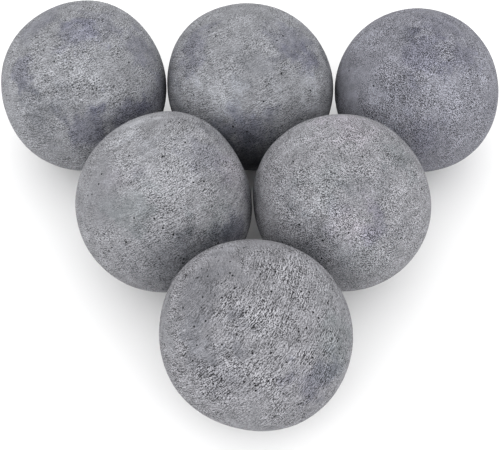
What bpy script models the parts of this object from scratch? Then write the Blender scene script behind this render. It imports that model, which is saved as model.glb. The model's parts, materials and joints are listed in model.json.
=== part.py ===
"""Basalt massage stones: a set of six loose, ball-shaped stones laid out in three rows of one, two and three.

Units are metres, +Z is up, and the front of the set faces -Y. Each stone is one solid of its own, a little out of
round as a tumbled stone is, with a small flat ground under it, so that it stays where it is put. The set's origin is
the middle of its footprint, on the surface that it stands on.
"""

from collections import namedtuple
from math import cos, exp, radians, sin, sqrt

import bmesh
import bpy
from mathutils import Vector

SET_NAME = "basalt_massage_stones"

# Driving dimensions.
STONE_DIAMETER = 0.060  # the size that the stones are sorted to
FOOT_DIAMETER = 0.014  # the ground flat that a stone stands on
SIDE_GAP = 0.0006  # clear space between neighbours in one row
ROW_GAP = 0.0012  # clear space between neighbours in two rows
SWELL_SPREAD = 6.0  # how quickly a swell fades: at 6, half of it is left 28 degrees away
SPHERE_DIVISIONS = 4  # the icosphere's level, 1280 facets

# The same stone material on all six, each in its own shade.
ROUGHNESS = 0.85
METALLIC = 0.0

# row and place count from the front and from the left. oversize is added to the diameter, and nudge is how far the
# stone lies off its place in the pattern, x and y. A swell is where the stone stands proud of the sphere, or is worn
# below it when negative: (compass angle from +X, angle above the middle, height).
Stone = namedtuple("Stone", "name row place oversize nudge swells colour")
STONES = (
    Stone(
        name="front_stone",
        row=0,
        place=0,
        oversize=0.0004,
        nudge=(0.0012, 0.0003),
        swells=((140, 25, 0.0014), (-110, -35, -0.0013)),
        colour=(0.18, 0.18, 0.19),
    ),
    Stone(
        name="middle_left_stone",
        row=1,
        place=0,
        oversize=0.0000,
        nudge=(0.0006, -0.0001),
        swells=((25, 20, -0.0009), (70, 35, 0.0017)),
        colour=(0.19, 0.19, 0.20),
    ),
    Stone(
        name="middle_right_stone",
        row=1,
        place=1,
        oversize=0.0000,
        nudge=(0.0005, 0.0004),
        swells=((25, 20, -0.0010), (155, 20, 0.0013)),
        colour=(0.20, 0.20, 0.21),
    ),
    Stone(
        name="back_left_stone",
        row=2,
        place=0,
        oversize=0.0005,
        nudge=(-0.0009, 0.0002),
        swells=((70, 35, 0.0016), (-170, -10, -0.0011)),
        colour=(0.18, 0.19, 0.20),
    ),
    Stone(
        name="back_middle_stone",
        row=2,
        place=1,
        oversize=0.0003,
        nudge=(-0.0004, 0.0004),
        swells=((145, 25, 0.0017), (30, 20, -0.0005)),
        colour=(0.18, 0.19, 0.20),
    ),
    Stone(
        name="back_right_stone",
        row=2,
        place=2,
        oversize=-0.0008,
        nudge=(-0.0009, -0.0005),
        swells=((-40, -25, 0.0010), (10, 10, -0.0002)),
        colour=(0.16, 0.17, 0.19),
    ),
)


def clear_scene():
    for old in list(bpy.data.objects):
        bpy.data.objects.remove(old)


def direction(compass, rise):
    """The unit vector at these two angles in degrees."""
    compass, rise = radians(compass), radians(rise)
    return Vector((cos(rise) * cos(compass), cos(rise) * sin(compass), sin(rise)))


def row_pitch():
    """How far apart two rows lie when each stone nests between two of the next row."""
    half_across = (STONE_DIAMETER + SIDE_GAP) / 2
    return sqrt((STONE_DIAMETER + ROW_GAP) ** 2 - half_across**2)


def place_of(stone):
    """The point under this stone's middle, on the surface that the set stands on."""
    across = (stone.place - stone.row / 2) * (STONE_DIAMETER + SIDE_GAP)
    return Vector((across + stone.nudge[0], stone.row * row_pitch() + stone.nudge[1], 0))


def middle_height(radius):
    """How high a stone's middle is above its foot: the flat is ground in until it is FOOT_DIAMETER across."""
    return sqrt(radius**2 - (FOOT_DIAMETER / 2) ** 2)


def wear(form, radius, swells):
    """Turns the sphere into the stone, by moving each vertex out or in along its own direction."""
    for vertex in form.verts:
        outward = vertex.co.normalized()
        reach = radius
        for compass, rise, height in swells:
            nearness = outward.dot(direction(compass, rise)) - 1
            reach += height * exp(SWELL_SPREAD * nearness)
        vertex.co = outward * reach


def grind_foot(form):
    """Cuts off what is below the foot's plane, z = 0, and closes the stone with one flat face."""
    cut = bmesh.ops.bisect_plane(
        form,
        geom=form.verts[:] + form.edges[:] + form.faces[:],
        plane_co=(0, 0, 0),
        plane_no=(0, 0, -1),
        clear_outer=True,
    )
    rim = [part for part in cut["geom_cut"] if isinstance(part, bmesh.types.BMEdge)]
    bmesh.ops.contextual_create(form, geom=rim)


def stone_mesh(stone):
    """The stone's closed mesh, with its own zero at the middle of its foot."""
    radius = (STONE_DIAMETER + stone.oversize) / 2
    form = bmesh.new()
    bmesh.ops.create_icosphere(form, subdivisions=SPHERE_DIVISIONS, radius=radius)
    wear(form, radius, stone.swells)
    bmesh.ops.translate(form, verts=form.verts, vec=(0, 0, middle_height(radius)))
    grind_foot(form)
    bmesh.ops.recalc_face_normals(form, faces=form.faces)
    mesh = bpy.data.meshes.new(stone.name)
    form.to_mesh(mesh)
    form.free()
    mesh.shade_smooth()
    mesh.set_sharp_from_angle(angle=radians(25))
    return mesh


def stone_material(stone):
    material = bpy.data.materials.new(stone.name + "_basalt")
    material.use_nodes = True
    shader = material.node_tree.nodes["Principled BSDF"]
    shader.inputs["Base Color"].default_value = (*stone.colour, 1)
    shader.inputs["Roughness"].default_value = ROUGHNESS
    shader.inputs["Metallic"].default_value = METALLIC
    return material


def make_stone(stone, collection):
    mesh = stone_mesh(stone)
    mesh.materials.append(stone_material(stone))
    piece = bpy.data.objects.new(stone.name, mesh)
    piece.location = place_of(stone)
    collection.objects.link(piece)
    return piece


def centre_on_origin(pieces):
    """Moves the whole set, so that the middle of its footprint is at the origin."""
    corners = [piece.location + vertex.co for piece in pieces for vertex in piece.data.vertices]
    middle = Vector(
        (min(p[axis] for p in corners) + max(p[axis] for p in corners)) / 2 for axis in range(2)
    )
    for piece in pieces:
        piece.location -= middle.to_3d()


def main():
    clear_scene()
    collection = bpy.data.collections.new(SET_NAME)
    bpy.context.scene.collection.children.link(collection)
    centre_on_origin([make_stone(stone, collection) for stone in STONES])


main()
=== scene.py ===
"""The looks of the basalt massage stones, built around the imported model.

Each stone of the model is replaced by a fine mesh of the same form, worn and pitted in real geometry, with a
basalt material of its own shade. The finest grain is in the material. Lengths are in metres, unless a name
ends in _MM.
"""

import json
from collections import namedtuple
from math import cos, radians, sin

import bmesh
import bpy
import numpy as np
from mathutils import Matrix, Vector


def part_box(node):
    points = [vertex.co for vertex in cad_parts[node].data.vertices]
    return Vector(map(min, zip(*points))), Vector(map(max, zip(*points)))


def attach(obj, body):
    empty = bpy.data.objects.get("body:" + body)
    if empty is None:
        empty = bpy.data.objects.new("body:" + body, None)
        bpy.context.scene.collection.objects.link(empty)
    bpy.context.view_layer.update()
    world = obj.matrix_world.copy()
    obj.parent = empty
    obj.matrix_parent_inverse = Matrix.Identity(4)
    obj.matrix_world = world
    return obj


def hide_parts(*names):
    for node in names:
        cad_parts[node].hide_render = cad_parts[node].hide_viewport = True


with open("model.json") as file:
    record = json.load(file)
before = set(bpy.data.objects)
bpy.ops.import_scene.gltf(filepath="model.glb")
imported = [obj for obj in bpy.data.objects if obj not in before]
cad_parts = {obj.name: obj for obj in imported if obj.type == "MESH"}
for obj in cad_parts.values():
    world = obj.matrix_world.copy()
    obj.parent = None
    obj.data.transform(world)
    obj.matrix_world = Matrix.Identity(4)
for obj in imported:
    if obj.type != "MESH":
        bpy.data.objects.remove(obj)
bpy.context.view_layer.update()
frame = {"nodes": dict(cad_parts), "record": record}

MM = 0.001

# Camera and floor.
LENS_MM = 89.3
SENSOR_MM = 36.0
CAMERA_ELEVATION = 53.0
CAMERA_DISTANCE = 0.4513
AIM_BEHIND_MIDDLE = 0.0123
FLOOR_DROP = 0.0002
FLOOR_SIZE = 12.0
FLOOR_WHITE = 0.85
FLOOR_ROUGHNESS = 0.9
NEAREST_SEEN = 0.01

# Light: an even white sky, and two soft panels in front.
SKY_STRENGTH = 1.5
PANEL_SIZE = 0.7
PANEL_WATTS = 2.9
PANEL_DISTANCE = 1.2
PANEL_COMPASSES = (-135, -45)
PANEL_RISE = 30

# The fine mesh.
FACES_ACROSS = 128  # quads along one side of the cube that becomes the stone
FORM_DEGREE = 8  # of the polynomial that gives the stone's smooth form
FOOT_ROUNDING_MM = 0.5
FOOT_MARGIN_MM = 0.05  # a corner of the model's mesh this close to the floor belongs to the foot

# Relief. Where a size ends in _SIZE_MM, it is how wide the cells of the noise are.
DENT_SIZE_MM = 9.0
DENT_DEPTH_MM = 0.10
GRAIN_SIZE_MM = 0.9
GRAIN_DEPTH_MM = 0.04
GRAIN_SINK = 0.6  # times its depth, how far the grain is let in
FINER = 0.6  # the size and strength of the finer half of the grain, as a share of the coarser
MARK_WIDTH_MM = 0.8  # the marks of grinding, which run in circles round the stone's spin axis
MARK_LENGTH = 4.0  # times the width
MARK_DEPTH_MM = 0.05
MARK_SHARPNESS = 2.2
MARK_AREA_SIZE_MM = 13.0  # the marks come and go in areas of this size
MARK_AREA_MEAN = 0.6
MARK_AREA_SWING = 1.1
MARK_AREA_LEAST = 0.1
DRIFT_SIZE_MM = 11.0  # the marks wander off their circles
CUT_DRIFT_MM = 3.0  # those cut into the mesh
DRAWN_DRIFT_MM = 2.4  # those drawn by the material
PIT_RADIUS_MM = (0.3, 0.44)
PIT_DEPTH = 0.9  # times the radius
PIT_BOWL = 1.3  # the square of how far out, in radii, a pit's wall ends
PIT_REACH = 3.0  # radii, how far out a pit's distance is measured

# The material. A shade or swing is added to a brightness of 1, darker when negative.
NOISE_RANGE = (0.3, 0.7)  # nearly all of a noise's values lie here
PATTERN_SHIFT_MM = (7.0, 3.0, 5.0)  # times the seed, so that no two stones share a pattern
MOTTLE_SIZE_MM = 4.0
MOTTLE_SWING = 0.18
AREA_SIZE_MM = 9.0  # rougher and smoother areas
AREA_RANGE = (0.35, 0.6)
AREA_ROUGHNESS = (0.65, 1.1)
SALT_SIZE_MM = 0.26
SALT_SWING = 0.82
SALT_SWING_LOSS = 0.27  # on a fully marked stone
SALT_STRETCH = 0.8  # how much longer than wide the salt is on a fully marked stone
PEPPER_SIZE_MM = 0.8
PEPPER_SWING = 0.04
RIDGE_SIZE_MM = 0.4
RIDGE_STRETCH = 3  # the same for the ridges and specks
RIDGE_STEP_MM = 0.3  # from a ridge's painted lit side to its painted shaded side
RIDGE_RANGE = (-0.2, 0.2)
# Of a fully marked stone: the painted shade on a ridge's dark side and the painted light on its lit side.
RIDGE_PAINTED_LIGHT_AND_SHADE = (-0.37, 0.30)
SPECK_SIZE_MM = 0.36
SPECK_RANGE = (0.30, 0.42)
SPECK_SHADE = -0.40
SPECK_LIFT = 0.04  # everywhere between the specks
SWEEP_SIZE_MM = 1.0
SWEEP_LENGTH = 20  # times the width
SWEEP_SWING = 0.15
GLINT_SIZE_MM = 0.32
GLINT_RANGE = (0.58, 0.70)
HOLLOW_PAINTED_SHADE = 0.03  # painted shade: lighter where the mesh's grain and marks stand high, darker in their hollows
DARKEST = 0.12
PIT_EDGE = (0.7, 1.05)  # radii; inside this the pit is painted dark, as painted shade in the hole
PIT_PAINTED_SHADE = 0.03
PRICK_RADIUS_MM = 0.42  # pin-pricks too fine for the mesh, painted dark as the shade in such holes
PRICK_SHARE = 4000.0  # cubic millimetres for one pin-prick, times the number of pits
PRICK_EDGE = 0.65  # of the radius, where a prick is at its darkest
PRICK_PAINTED_SHADE = 0.04
PATCH_RAGGED_SIZE_MM = 7.0
PATCH_RAGGED_DEGREES = 70
PATCH_EDGE = (1.6, 0.3)  # half widths, where a patch starts and where it is full
BUMP_STRENGTH = 0.7
BUMP_DEPTH_MM = 0.08
GRAIN_RANGE = (-0.4, 0.4)
ROUGHNESS = (0.92, 0.74)  # in the grain's dark places and in its light ones
SPECULAR = 0.15

# A patch of another tone; the dark ones low on a side that meets another stone are painted shade. Each has:
# where its middle is (compass angle from +X, angle above the stone's middle), its half width in degrees, its
# tint, how much of it there is, and how far it smooths the grain.
Patch = namedtuple("Patch", "compass rise width tint amount calm", defaults=(0.0,))

# A stone's look: its node, the seed of its patterns, its own tone, the axis that its marks run round (compass
# angle, angle above the middle), how strong its marks, grain and glints are, its count of pits, its patches.
Look = namedtuple("Look", "node seed tone spin marks grain glints pits patches")

# The tints that a patch multiplies the stone's tone by. DARK is darker stone, and also painted shade where
# the stones meet.
BLUE = (0.66, 0.66, 0.74)
DARK = (0.62, 0.63, 0.65)
LIGHT = (1.40, 1.41, 1.41)
ROSE = (1.27, 1.21, 1.25)
GREEN = (0.80, 0.86, 0.84)

# The patches were fitted to six real stones as the camera sees them, so the far sides have almost none. The
# dark ones low where the stones meet, and under the back middle stone, are painted shade.
LOOKS = (
    Look(
        node="front_stone",
        seed=11,
        tone=(0.185, 0.184, 0.197),
        spin=(160, 40),
        marks=1.0,
        grain=1.26,
        glints=0.1,
        pits=150,
        patches=(
            Patch(-175, 55, 20, DARK, 0.6, 0.55),
            Patch(140, 65, 18, DARK, 0.2, 0.65),
            Patch(-140, 50, 14, DARK, 0.25, 0.6),
            Patch(-130, 35, 14, DARK, 0.6),
            Patch(-105, 28, 10, DARK, 0.3),
            Patch(-50, 20, 15, BLUE, 0.8),
            Patch(-60, -10, 14, DARK, 0.25),
            Patch(135, 50, 9, LIGHT, 0.5),
            Patch(25, 60, 18, LIGHT, 0.2),
            Patch(-75, 32, 10, LIGHT, 0.2),
            Patch(-30, 25, 18, GREEN, 0.7),
            Patch(-90, 70, 9, LIGHT, 0.2),
            Patch(-116, 56, 8, DARK, 0.4),
            Patch(-147, 41, 8, LIGHT, 0.5),
            Patch(-123, 40, 8, LIGHT, 0.35),
            Patch(48, 49, 10, LIGHT, 0.4),
            Patch(-175, 20, 16, GREEN, 0.2, 0.5),
            Patch(-5, 30, 22, GREEN, 0.2, 0.5),
            Patch(90, 50, 16, LIGHT, 0.1, 0.5),
            Patch(-90, -12, 20, GREEN, 0.2, 0.5),
        ),
    ),
    Look(
        node="middle_left_stone",
        seed=23,
        tone=(0.184, 0.185, 0.197),
        spin=(130, 48),
        marks=0.7,
        grain=0.85,
        glints=0.35,
        pits=55,
        patches=(
            Patch(-90, 78, 26, LIGHT, 0.45),
            Patch(-140, 58, 10, ROSE, 0.4),
            Patch(-115, 46, 14, GREEN, 0.6, 0.4),
            Patch(-145, 42, 20, DARK, 0.35, 0.6),
            Patch(130, 50, 20, LIGHT, 0.4),
            Patch(-35, 12, 13, BLUE, 0.8),
            Patch(0, 58, 14, BLUE, 0.5),
            Patch(0, 35, 14, ROSE, 0.6),
            Patch(-45, 30, 12, GREEN, 0.5),
            # Painted shade where this stone meets the front and middle right stones: dark patches low on
            # those sides.
            Patch(-62, 18, 12, DARK, 0.3),
            Patch(-80, 5, 28, DARK, 0.65),
            Patch(-60, 5, 24, DARK, 0.75),
            Patch(0, 5, 18, DARK, 0.8),
            Patch(133, 60, 11, LIGHT, 0.5),
            Patch(50, 46, 10, DARK, 0.45),
            Patch(175, 81, 8, DARK, 0.4),
            Patch(-149, 65, 8, DARK, 0.4),
            Patch(-23, 43, 8, DARK, 0.3),
            Patch(-170, 25, 16, LIGHT, 0.1, 0.4),
            Patch(100, 60, 14, LIGHT, 0.05, 0.4),
        ),
    ),
    Look(
        node="middle_right_stone",
        seed=37,
        tone=(0.188, 0.188, 0.201),
        spin=(130, 60),
        marks=0.4,
        grain=1.1,
        glints=0.4,
        pits=25,
        patches=(
            Patch(-85, 38, 11, ROSE, 0.7),
            Patch(-93, 26, 12, LIGHT, 0.6),
            Patch(-35, 50, 12, LIGHT, 0.2),
            Patch(-65, 55, 14, DARK, 0.4),
            Patch(80, 68, 16, ROSE, 0.8),
            Patch(134, 50, 20, LIGHT, 0.45),
            Patch(-125, 60, 14, GREEN, 0.4),
            Patch(-115, 48, 8, LIGHT, 0.5),
            Patch(-138, 34, 18, LIGHT, 0.3),
            Patch(0, 52, 12, GREEN, 0.5),
            Patch(-80, 8, 20, GREEN, 0.3),
            Patch(-50, 29, 10, DARK, 0.3),
            Patch(-68, 33, 9, BLUE, 0.6),
            Patch(-118, 32, 11, DARK, 0.3),
            # Painted shade where this stone meets the front and middle left stones: dark patches low on those
            # sides.
            Patch(-110, 5, 24, DARK, 0.5),
            Patch(-119, 5, 22, DARK, 0.5),
            Patch(180, 0, 14, DARK, 0.6),
            Patch(-7, 54, 10, DARK, 0.4),
            Patch(-97, 50, 8, DARK, 0.4),
            Patch(-157, 42, 8, DARK, 0.35),
        ),
    ),
    Look(
        node="back_left_stone",
        seed=41,
        tone=(0.186, 0.189, 0.202),
        spin=(125, 52),
        marks=0.7,
        grain=0.85,
        glints=0.45,
        pits=22,
        patches=(
            Patch(-70, 86, 12, BLUE, 0.9),
            Patch(25, 72, 14, BLUE, 0.5),
            Patch(0, 42, 14, BLUE, 0.7, 0.4),
            Patch(-55, 15, 14, BLUE, 0.8),
            Patch(-80, 14, 14, BLUE, 0.9),
            Patch(-20, 8, 16, BLUE, 0.7),
            Patch(-125, 28, 12, DARK, 0.6),
            Patch(-145, 42, 9, BLUE, 0.8),
            Patch(155, 60, 14, BLUE, 0.5, 0.5),
            Patch(-77, 60, 20, LIGHT, 0.15),
            Patch(-78, 46, 12, LIGHT, 0.15),
            Patch(-25, 28, 14, LIGHT, 0.35),
            Patch(-60, 30, 10, LIGHT, 0.3),
            # Painted shade where this stone meets the middle left and back middle stones: dark patches low on
            # those sides.
            Patch(-59, 2, 22, DARK, 0.4),
            Patch(0, 0, 12, DARK, 0.4),
            Patch(-28, 82, 8, LIGHT, 0.5),
            Patch(-118, 18, 16, DARK, 0.4),
            Patch(-94, 35, 8, DARK, 0.4),
            Patch(-45, 20, 9, BLUE, 0.4),
            Patch(-150, 15, 16, LIGHT, 0.1, 0.4),
        ),
    ),
    Look(
        node="back_middle_stone",
        seed=53,
        tone=(0.184, 0.187, 0.200),
        spin=(125, 45),
        marks=0.65,
        grain=0.72,
        glints=0.4,
        pits=18,
        patches=(
            Patch(-8, 58, 16, BLUE, 0.7, 0.4),
            Patch(-21, 46, 12, BLUE, 0.8),
            Patch(-175, 45, 14, BLUE, 0.8),
            Patch(-115, 35, 17, LIGHT, 0.8, 0.3),
            Patch(-150, 26, 12, LIGHT, 0.5),
            Patch(-36, 33, 11, LIGHT, 0.9, 0.4),
            Patch(-75, 33, 10, LIGHT, 0.4),
            Patch(-90, 60, 12, DARK, 0.35, 0.3),
            Patch(11, 27, 10, DARK, 0.75),
            Patch(-94, 14, 16, BLUE, 0.9),
            # Painted shade under this stone and where it meets its neighbours: dark patches low down and on
            # those sides.
            Patch(-90, -18, 34, DARK, 1.0),
            Patch(-90, -30, 30, DARK, 1.0),
            Patch(-145, 6, 14, DARK, 0.6),
            Patch(-119, 0, 22, DARK, 0.5),
            Patch(-60, 0, 22, DARK, 0.5),
            Patch(180, 5, 14, DARK, 0.5),
            Patch(0, 5, 14, DARK, 0.5),
            Patch(-105, 33, 8, LIGHT, 0.55),
            Patch(-99, 46, 8, DARK, 0.35),
        ),
    ),
    Look(
        node="back_right_stone",
        seed=67,
        tone=(0.149, 0.150, 0.171),
        spin=(60, 30),
        marks=0.3,
        grain=1.2,
        glints=0.8,
        pits=18,
        patches=(
            Patch(-170, 78, 7, DARK, 0.7),
            Patch(-105, 72, 14, BLUE, 0.7),
            Patch(-30, 55, 10, BLUE, 0.6, 0.3),
            Patch(-37, 45, 9, LIGHT, 0.4),
            Patch(-90, 10, 14, BLUE, 0.5),
            Patch(-76, 41, 16, LIGHT, 0.45),
            Patch(-19, 37, 9, LIGHT, 0.4),
            Patch(-163, 22, 20, LIGHT, 0.45, 0.7),
            Patch(-125, 20, 14, LIGHT, 0.35),
            Patch(47, 72, 14, BLUE, 0.4, 0.3),
            Patch(0, 10, 14, DARK, 0.4),
            # Painted shade where this stone meets the middle right stone: a dark patch low on that side.
            Patch(-119, 0, 20, DARK, 0.25),
            Patch(-116, 43, 9, DARK, 0.4),
            Patch(-126, 26, 8, LIGHT, 0.4),
            Patch(-108, 17, 8, LIGHT, 0.35),
            Patch(161, 42, 9, LIGHT, 0.45),
            Patch(-32, 12, 9, DARK, 0.35),
        ),
    ),
)


def direction(compass, rise):
    """The unit vector at these two angles in degrees."""
    compass, rise = radians(compass), radians(rise)
    return Vector((cos(rise) * cos(compass), cos(rise) * sin(compass), sin(rise)))


# ---------------------------------------------------------------- form


def unit(vectors):
    return vectors / np.linalg.norm(vectors, axis=1, keepdims=True)


def round_cube():
    """A cube's grid of quads blown up to the unit sphere, evenly spread: (directions, faces)."""
    form = bmesh.new()
    bmesh.ops.create_cube(form, size=2)
    bmesh.ops.subdivide_edges(form, edges=form.edges, cuts=FACES_ACROSS - 1, use_grid_fill=True)
    grid = np.array([vertex.co for vertex in form.verts])
    faces = np.array([[vertex.index for vertex in face.verts] for face in form.faces])
    form.free()
    return unit(np.tan(grid * np.pi / 4)), faces


def powers(directions):
    """The terms of the form's polynomial. On a sphere, the two highest degrees make all the lower ones."""
    x, y, z = directions.T
    return np.stack(
        [
            x**i * y**j * z ** (degree - i - j)
            for degree in (FORM_DEGREE - 1, FORM_DEGREE)
            for i in range(degree + 1)
            for j in range(degree + 1 - i)
        ],
        axis=1,
    )


def smooth_form(node, middle, directions):
    """How far the stone reaches each way: smoothly through the model's corners, cut off by its flat foot."""
    corners = np.array([vertex.co for vertex in frame["nodes"][node].data.vertices])
    floor = corners[:, 2].min()
    corners = corners[corners[:, 2] > floor + FOOT_MARGIN_MM * MM] - middle
    reach = np.linalg.norm(corners, axis=1)
    shares = np.linalg.lstsq(powers(unit(corners)), reach, rcond=None)[0]
    smooth = powers(directions) @ shares
    down = np.maximum(-directions[:, 2], 1e-3)
    to_floor = (middle[2] - floor) / down
    softness = FOOT_ROUNDING_MM * MM
    nearer = np.clip(0.5 + 0.5 * (to_floor - smooth) / softness, 0, 1)
    return to_floor * (1 - nearer) + smooth * nearer - softness * nearer * (1 - nearer)


# ---------------------------------------------------------------- relief


def gradient_noise(points, seed):
    """Smooth noise of about -0.7 to 0.7 with cells one unit wide, the same each run."""
    draw = np.random.default_rng(seed)
    order = np.tile(draw.permutation(256), 3)
    slopes = unit(draw.normal(size=(256, 3)))
    cell = np.floor(points).astype(int)
    within = points - cell
    ease = within**3 * (within * (within * 6 - 15) + 10)
    total = np.zeros(len(points))
    for corner in np.ndindex(2, 2, 2):
        index = (cell + corner) % 256
        entry = order[order[order[index[:, 0]] + index[:, 1]] + index[:, 2]]
        share = np.prod(np.where(corner, ease, 1 - ease), axis=1)
        total += share * np.sum(slopes[entry] * (within - corner), axis=1)
    return total


def along_marks(places, spin, radius_mm):
    """The places squeezed along the circles round the spin axis, so that noise there makes long marks."""
    axis = np.array(direction(*spin))
    high = places @ axis
    turned = np.arccos(np.clip(high / np.linalg.norm(places, axis=1), -1, 1)) * radius_mm
    return np.outer(turned, axis) + (places - np.outer(high, axis)) / MARK_LENGTH


def pit_shapes(directions, radius_mm, look):
    """(depth in millimetres, distance from the middle in radii) of small bowls at random places."""
    draw = np.random.default_rng(look.seed + 1000)
    depth = np.zeros(len(directions))
    distance = np.full(len(directions), PIT_REACH)
    for middle in unit(draw.normal(size=(look.pits, 3))):
        pit = draw.uniform(*PIT_RADIUS_MM)
        near = np.flatnonzero(directions @ middle > cos(PIT_REACH * pit / radius_mm))
        off = np.linalg.norm((directions[near] - middle) * radius_mm, axis=1) / pit
        depth[near] = np.maximum(depth[near], PIT_DEPTH * pit * np.clip(PIT_BOWL - off**2, 0, 1))
        distance[near] = np.minimum(distance[near], off)
    return depth, distance


def cut_marks(places, radius_mm, look):
    """The marks of grinding, from -1 to 1 where they are strongest."""
    drift = [gradient_noise(places / DRIFT_SIZE_MM, look.seed + 5 + axis) for axis in range(3)]
    squeezed = along_marks(places + CUT_DRIFT_MM * np.stack(drift, axis=1), look.spin, radius_mm)
    marks = gradient_noise(squeezed / MARK_WIDTH_MM, look.seed + 3)
    area = MARK_AREA_MEAN + MARK_AREA_SWING * gradient_noise(places / MARK_AREA_SIZE_MM, look.seed + 4)
    area = np.clip(area, MARK_AREA_LEAST, 1) * look.marks
    return area * np.clip(MARK_SHARPNESS * marks, -1, 1)


def relief(directions, radius_mm, look):
    """(height in millimetres, how high the grain and marks stand, pit distance in radii)."""
    places = directions * radius_mm
    dents = gradient_noise(places / DENT_SIZE_MM, look.seed)
    grain = gradient_noise(places / GRAIN_SIZE_MM, look.seed + 1)
    grain += FINER * gradient_noise(places / (GRAIN_SIZE_MM * FINER), look.seed + 2)
    marks = cut_marks(places, radius_mm, look)
    pits, pit = pit_shapes(directions, radius_mm, look)
    height = DENT_DEPTH_MM * dents + GRAIN_DEPTH_MM * (grain - GRAIN_SINK)
    height += MARK_DEPTH_MM * (marks - 1) / 2 - pits
    return height, FINER * grain + marks, pit


# ---------------------------------------------------------------- material


class Material:
    """A material and short ways to add nodes to it. Each gives back the new node's output."""

    def __init__(self, name):
        self.made = bpy.data.materials.new(name)
        self.made.use_nodes = True
        self.tree = self.made.node_tree
        self.shader = self.tree.nodes["Principled BSDF"]

    def node(self, kind, inputs, output=0, **settings):
        made = self.tree.nodes.new(kind)
        for name, value in settings.items():
            setattr(made, name, value)
        for socket, value in inputs.items():
            if isinstance(value, bpy.types.NodeSocket):
                self.tree.links.new(value, made.inputs[socket])
            else:
                made.inputs[socket].default_value = value
        return made.outputs[output]

    def math(self, operation, first, second=0.0, third=0.0):
        return self.node("ShaderNodeMath", {0: first, 1: second, 2: third}, operation=operation)

    def vector(self, operation, first, second=(0, 0, 0)):
        return self.node("ShaderNodeVectorMath", {0: first, 1: second}, operation=operation)

    def dot(self, first, second):
        inputs = {0: first, 1: second}
        return self.node("ShaderNodeVectorMath", inputs, output="Value", operation="DOT_PRODUCT")

    def scaled(self, vector, times):
        return self.node("ShaderNodeVectorMath", {0: vector, "Scale": times}, operation="SCALE")

    def noise(self, where, size_mm, detail=1.0, output=0):
        inputs = {"Vector": where, "Scale": 1 / size_mm, "Detail": detail, "Roughness": 0.6}
        return self.node("ShaderNodeTexNoise", inputs, output=output)

    def step(self, value, start, end, low=0.0, high=1.0):
        """A smooth step from low to high as value goes from start to end."""
        inputs = {"Value": value, 1: start, 2: end, 3: low, 4: high}
        return self.node("ShaderNodeMapRange", inputs, interpolation_type="SMOOTHSTEP")

    def swing(self, noise, most):
        """A noise turned into a brightness from -most to most."""
        return self.step(noise, *NOISE_RANGE, -most, most)

    def tinted(self, colour, tint, amount):
        """The colour multiplied by the tint, as far as amount says."""
        if isinstance(tint, tuple):
            tint = (*tint, 1)
        inputs = {0: amount, 6: colour, 7: tint}
        return self.node("ShaderNodeMix", inputs, output=2, data_type="RGBA", blend_type="MULTIPLY")


def marked_places(m, place, look, radius_mm, length):
    """What along_marks does, in nodes, for marks this many times as long as wide."""
    drift = m.vector("SUBTRACT", m.noise(place, DRIFT_SIZE_MM, output=1), (0.5, 0.5, 0.5))
    place = m.vector("ADD", place, m.scaled(drift, DRAWN_DRIFT_MM))
    axis = direction(*look.spin)
    high = m.dot(place, axis)
    turned = m.math("ARCCOSINE", m.dot(m.vector("NORMALIZE", place), axis))
    turned = m.scaled(axis, m.math("MULTIPLY", turned, radius_mm))
    across = m.vector("SUBTRACT", place, m.scaled(axis, high))
    return m.vector("ADD", turned, m.scaled(across, 1 / length))


def patched(m, place, look):
    """(colour, calm): the stone's tone with its ragged patches, and where they smooth the grain."""
    ragged = m.math("SUBTRACT", m.noise(place, PATCH_RAGGED_SIZE_MM, 4.0), 0.5)
    outward = m.vector("NORMALIZE", place)
    colour = m.node("ShaderNodeRGB", {})
    colour.node.outputs[0].default_value = (*look.tone, 1)
    calm = 0.0
    edge, full = PATCH_EDGE
    for patch in look.patches:
        facing = m.dot(outward, direction(patch.compass, patch.rise))
        apart = m.math("MULTIPLY_ADD", ragged, radians(PATCH_RAGGED_DEGREES), m.math("ARCCOSINE", facing))
        inside = m.step(apart, radians(patch.width * edge), radians(patch.width * full))
        colour = m.tinted(colour, patch.tint, m.math("MULTIPLY", inside, patch.amount))
        if patch.calm:
            calm = m.math("MAXIMUM", calm, m.math("MULTIPLY", inside, patch.calm))
    return colour, calm


def pricked(m, place, look):
    """A factor that is 1, and nearly 0 in pin-pricks scattered through the stone: painted shade in holes too
    fine for the mesh.
    """
    spacing = (PRICK_SHARE / look.pits) ** (1 / 3)
    inputs = {"Vector": place, "Scale": 1 / spacing}
    size = PRICK_RADIUS_MM / spacing
    return m.step(m.node("ShaderNodeTexVoronoi", inputs), PRICK_EDGE * size, size, PRICK_PAINTED_SHADE, 1.0)


def salted(m, place, shifted, look, radius_mm):
    """Salt and pepper grain, which the marks draw out a little."""
    along = marked_places(m, place, look, radius_mm, 1 + SALT_STRETCH * look.marks)
    swing = (SALT_SWING - SALT_SWING_LOSS * look.marks) * look.grain
    salt = m.swing(m.noise(along, SALT_SIZE_MM, 0.0), swing)
    return m.math("ADD", salt, m.swing(m.noise(shifted, PEPPER_SIZE_MM), PEPPER_SWING))


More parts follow.
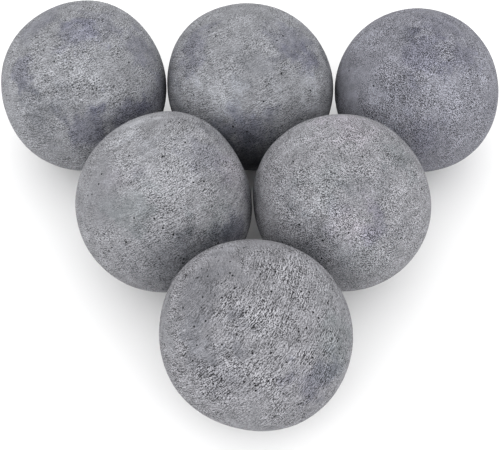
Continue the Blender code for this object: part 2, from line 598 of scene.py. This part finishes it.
def drawn_marks(m, place, shifted, look, radius_mm):
    """The finest marks: ridges with painted light and shade on their two sides, dark specks and broad sweeps
    along them, and glints.
    """
    along = marked_places(m, place, look, radius_mm, 1 + RIDGE_STRETCH * look.marks)
    beside = m.vector("ADD", along, direction(*look.spin) * RIDGE_STEP_MM)
    ridges = m.math("SUBTRACT", m.noise(along, RIDGE_SIZE_MM, 0.0), m.noise(beside, RIDGE_SIZE_MM, 0.0))
    # Painted light and shade: the two sides of each ridge.
    shades = (shade * look.marks for shade in RIDGE_PAINTED_LIGHT_AND_SHADE)
    ridges = m.step(ridges, *RIDGE_RANGE, *shades)
    specks = m.noise(along, SPECK_SIZE_MM, 0.0)
    specks = m.step(specks, *SPECK_RANGE, SPECK_SHADE * look.marks, SPECK_LIFT)
    sweeps = m.noise(marked_places(m, place, look, radius_mm, SWEEP_LENGTH), SWEEP_SIZE_MM, 2.0)
    sweeps = m.swing(sweeps, SWEEP_SWING * look.marks)
    glints = m.step(m.noise(shifted, GLINT_SIZE_MM, 0.0), *GLINT_RANGE, 0.0, look.glints)
    return m.math("ADD", m.math("ADD", m.math("ADD", ridges, sweeps), specks), glints)


def basalt(look, radius_mm):
    """The stone's material: patches of other tones, some of them painted shade where the stones meet,
    mottling, grain, grinding marks with painted light and shade, and painted shade in the hollows, dark pits
    and pin-pricks.
    """
    m = Material(look.node.replace("_stone", "_basalt"))
    place = m.scaled(m.node("ShaderNodeTexCoord", {}, output="Object"), 1 / MM)
    shifted = m.vector("ADD", place, [look.seed * shift for shift in PATTERN_SHIFT_MM])
    # The worn attribute is how high the mesh's grain and marks stand; the material turns it into painted
    # shade in the hollows.
    worn = m.node("ShaderNodeAttribute", {}, output="Fac", attribute_name="worn")
    pit = m.node("ShaderNodeAttribute", {}, output="Fac", attribute_name="pit")
    colour, calm = patched(m, place, look)

    area = m.step(m.noise(shifted, AREA_SIZE_MM), *AREA_RANGE, *AREA_ROUGHNESS)
    rough = m.math("MULTIPLY", area, m.math("SUBTRACT", 1.0, calm))
    mottle = m.swing(m.noise(shifted, MOTTLE_SIZE_MM, 4.0), MOTTLE_SWING)
    grain = m.math("MULTIPLY", salted(m, place, shifted, look, radius_mm), rough)
    marks = m.math("MULTIPLY", drawn_marks(m, place, shifted, look, radius_mm), rough)
    # Painted shade in the hollows of the grain and marks, and painted light on their tops.
    worn = m.math("MULTIPLY", worn, m.math("MULTIPLY", rough, HOLLOW_PAINTED_SHADE))
    bright = m.math("ADD", m.math("ADD", mottle, grain), m.math("ADD", marks, worn))
    bright = m.math("MAXIMUM", m.math("ADD", bright, 1.0), DARKEST)
    # Painted shade in the pits and pin-pricks: nearly black there.
    bright = m.math("MULTIPLY", bright, m.step(pit, *PIT_EDGE, PIT_PAINTED_SHADE, 1.0))
    bright = m.math("MULTIPLY", bright, pricked(m, shifted, look))
    grey = m.node("ShaderNodeCombineColor", {0: bright, 1: bright, 2: bright})

    height = m.math("ADD", grain, marks)
    bump = {"Strength": BUMP_STRENGTH, "Distance": BUMP_DEPTH_MM * MM, "Height": height}
    roughness = m.step(grain, *GRAIN_RANGE, *ROUGHNESS)
    m.tree.links.new(m.tinted(colour, grey, 1.0), m.shader.inputs["Base Color"])
    m.tree.links.new(roughness, m.shader.inputs["Roughness"])
    m.tree.links.new(m.node("ShaderNodeBump", bump), m.shader.inputs["Normal"])
    m.shader.inputs["Specular IOR Level"].default_value = SPECULAR
    return m.made


# ---------------------------------------------------------------- pieces


def body_of(node):
    bodies = frame["record"]["behaviour"]["bodies"]
    return next(body for body, nodes in bodies.items() if node in nodes)


def make_stone(look, directions, faces):
    """The worn mesh that stands for one node of the model, on that node's body and in its material slot."""
    low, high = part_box(look.node)
    middle = np.array((low + high) / 2)
    reach = smooth_form(look.node, middle, directions)
    radius_mm = float(reach.mean() / MM)
    height, worn, pit = relief(directions, radius_mm, look)
    points = directions * (reach + height * MM)[:, None]
    points[:, 2] = np.maximum(points[:, 2], low.z - middle[2])
    mesh = bpy.data.meshes.new(look.node.replace("_stone", "_worn"))
    mesh.from_pydata(points, [], faces)
    # worn: how high the grain and marks stand, for the material's painted shade in the hollows; pit: distance
    # from a pit.
    for name, values in (("worn", worn), ("pit", pit)):
        attribute = mesh.attributes.new(name, "FLOAT", "POINT")
        attribute.data.foreach_set("value", values.astype(np.float32))
    mesh.shade_smooth()
    mesh.materials.append(basalt(look, radius_mm))
    piece = bpy.data.objects.new(mesh.name, mesh)
    piece.location = middle
    bpy.context.scene.collection.objects.link(piece)
    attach(piece, body_of(look.node))
    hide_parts(look.node)


def make_floor():
    mesh = bpy.data.meshes.new("floor")
    half = FLOOR_SIZE / 2
    corners = [(-half, -half, 0), (half, -half, 0), (half, half, 0), (-half, half, 0)]
    mesh.from_pydata(corners, [], [(0, 1, 2, 3)])
    m = Material("floor_white")
    m.shader.inputs["Base Color"].default_value = (FLOOR_WHITE, FLOOR_WHITE, FLOOR_WHITE, 1)
    m.shader.inputs["Roughness"].default_value = FLOOR_ROUGHNESS
    mesh.materials.append(m.made)
    floor = bpy.data.objects.new("floor", mesh)
    floor.location.z = -FLOOR_DROP
    bpy.context.scene.collection.objects.link(floor)


def make_light():
    world = bpy.data.worlds.new("studio")
    world.use_nodes = True
    world.node_tree.nodes["Background"].inputs["Color"].default_value = (1, 1, 1, 1)
    world.node_tree.nodes["Background"].inputs["Strength"].default_value = SKY_STRENGTH
    bpy.context.scene.world = world
    for compass in PANEL_COMPASSES:
        data = bpy.data.lights.new("panel", "AREA")
        data.size = PANEL_SIZE
        data.energy = PANEL_WATTS
        panel = bpy.data.objects.new("panel", data)
        panel.location = direction(compass, PANEL_RISE) * PANEL_DISTANCE
        panel.rotation_euler = panel.location.to_track_quat("Z", "Y").to_euler()
        bpy.context.scene.collection.objects.link(panel)
    bpy.context.scene.view_settings.view_transform = "Standard"


def make_camera():
    data = bpy.data.cameras.new("camera")
    data.lens = LENS_MM
    data.sensor_width = SENSOR_MM
    data.clip_start = NEAREST_SEEN
    camera = bpy.data.objects.new("camera", data)
    tilt = radians(CAMERA_ELEVATION)
    back = Vector((0, -cos(tilt), sin(tilt)))
    camera.location = Vector((0, AIM_BEHIND_MIDDLE, 0)) + back * CAMERA_DISTANCE
    camera.rotation_euler = (radians(90) - tilt, 0, 0)
    bpy.context.scene.collection.objects.link(camera)
    bpy.context.scene.camera = camera


make_camera()
make_light()
make_floor()
sphere_directions, sphere_faces = round_cube()
for stone_look in LOOKS:
    make_stone(stone_look, sphere_directions, sphere_faces)
